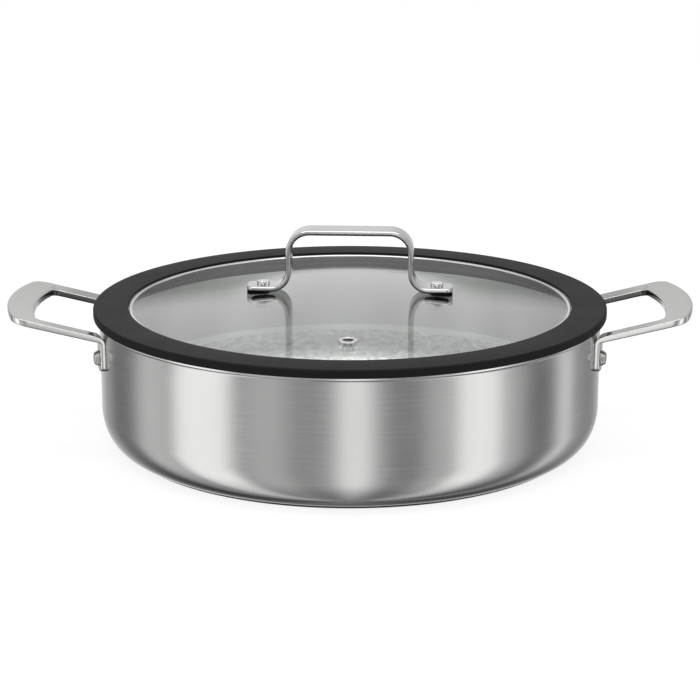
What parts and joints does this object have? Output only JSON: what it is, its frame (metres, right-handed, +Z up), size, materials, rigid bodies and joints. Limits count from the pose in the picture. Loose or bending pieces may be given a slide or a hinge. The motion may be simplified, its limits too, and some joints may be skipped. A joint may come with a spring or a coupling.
{
  "type": "saute pan with lid",
  "caption": "Wide shallow steel saute pan with two riveted side handles and a domed glass lid in a silicone rim, with a strap handle and a steam vent.",
  "frame": {"origin": "centre of the pan's underside, on the surface that it stands on", "axes": "+Z up along the pan's axis, +X towards the right side handle, -Y towards the viewer"},
  "size_m": [0.3882, 0.2916, 0.1218],
  "materials": {
    "pan_outer_steel": "brushed round the wall",
    "core_aluminium": "rolled sheet",
    "pan_inner_steel": "satin",
    "base_steel": "turned satin",
    "handle_steel": "satin polished",
    "rivet_steel": "satin",
    "lid_glass": "clear tempered",
    "band_steel": "bright drawn sheet",
    "ring_silicone": "matt moulded",
    "lid_handle_steel": "satin polished",
    "gasket_silicone": "matt moulded",
    "screw_steel": "polished"
  },
  "bodies": {
    "pan": {"pan_outer_skin": "pan_outer_steel", "pan_core": "core_aluminium", "pan_inner_skin": "pan_inner_steel", "base_plate": "base_steel", "handle_left": "handle_steel", "handle_right": "handle_steel", "rivet_left_front": "rivet_steel", "rivet_left_back": "rivet_steel", "rivet_right_front": "rivet_steel", "rivet_right_back": "rivet_steel"},
    "lid": {"lid_glass": "lid_glass", "lid_band": "band_steel", "lid_ring": "ring_silicone", "lid_handle": "lid_handle_steel", "foot_gasket_left": "gasket_silicone", "foot_gasket_right": "gasket_silicone", "handle_screw_left": "screw_steel", "handle_screw_right": "screw_steel", "glass_washer_left": "gasket_silicone", "glass_washer_right": "gasket_silicone", "handle_nut_left": "screw_steel", "handle_nut_right": "screw_steel", "vent_eyelet": "screw_steel"}
  },
  "joints": [
    {"name": "lid_lift", "type": "slide", "parent": "pan", "child": "lid", "axis": [0, 0, 1], "range_m": [0, 0.2]}
  ]
}
